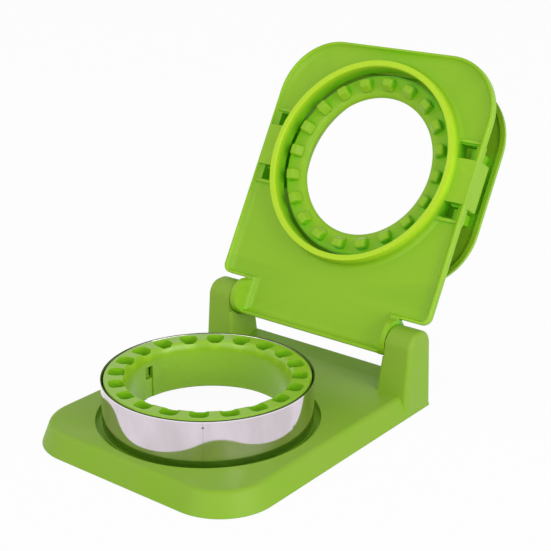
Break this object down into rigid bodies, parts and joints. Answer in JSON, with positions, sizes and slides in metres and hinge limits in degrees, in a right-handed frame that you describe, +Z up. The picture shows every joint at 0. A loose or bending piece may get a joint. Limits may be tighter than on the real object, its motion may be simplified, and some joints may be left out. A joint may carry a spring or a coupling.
{
  "type": "sandwich cutter and sealer",
  "caption": "Hinged round sandwich cutter and sealer: tray base with upright steel cutting band and dimpled ring, and a lid with a sprung press ring of blunt teeth.",
  "frame": {"origin": "on the table, under the middle of the open product's bounding box", "axes": "+X is the user's right and runs along the hinge axis, +Y runs to the back where the hinge is, +Z is up"},
  "size_m": [0.1112, 0.1944, 0.1373],
  "materials": {
    "green_plastic": "satin",
    "steel_band": "polished",
    "spring_steel": "satin",
    "foot_rubber": "matt"
  },
  "bodies": {
    "base": {"base_plate": "green_plastic", "cutting_band": "steel_band", "dimple_ring": "green_plastic", "foot_front_left": "foot_rubber", "foot_front_right": "foot_rubber", "foot_rear_left": "foot_rubber", "foot_rear_right": "foot_rubber"},
    "lid": {"lid": "green_plastic", "press_spring_left_lower": "spring_steel", "press_spring_left_upper": "spring_steel", "press_spring_right_lower": "spring_steel", "press_spring_right_upper": "spring_steel"},
    "press": {"press_plate": "green_plastic", "toothed_ring": "green_plastic"}
  },
  "joints": [
    {"name": "lid_hinge", "type": "hinge", "parent": "base", "child": "lid", "pos_m": [0, 0.02496, 0.02955], "axis": [1, 0, 0], "range_deg": [0, 119.4]},
    {"name": "press_slide", "type": "slide", "parent": "lid", "child": "press", "axis": [0, -0.8712, 0.4909], "range_m": [0, 0.004], "stiffness_N_per_m": 400, "springref_m": -0.01, "deforming": ["press_spring_left_lower", "press_spring_left_upper", "press_spring_right_lower", "press_spring_right_upper"]}
  ]
}
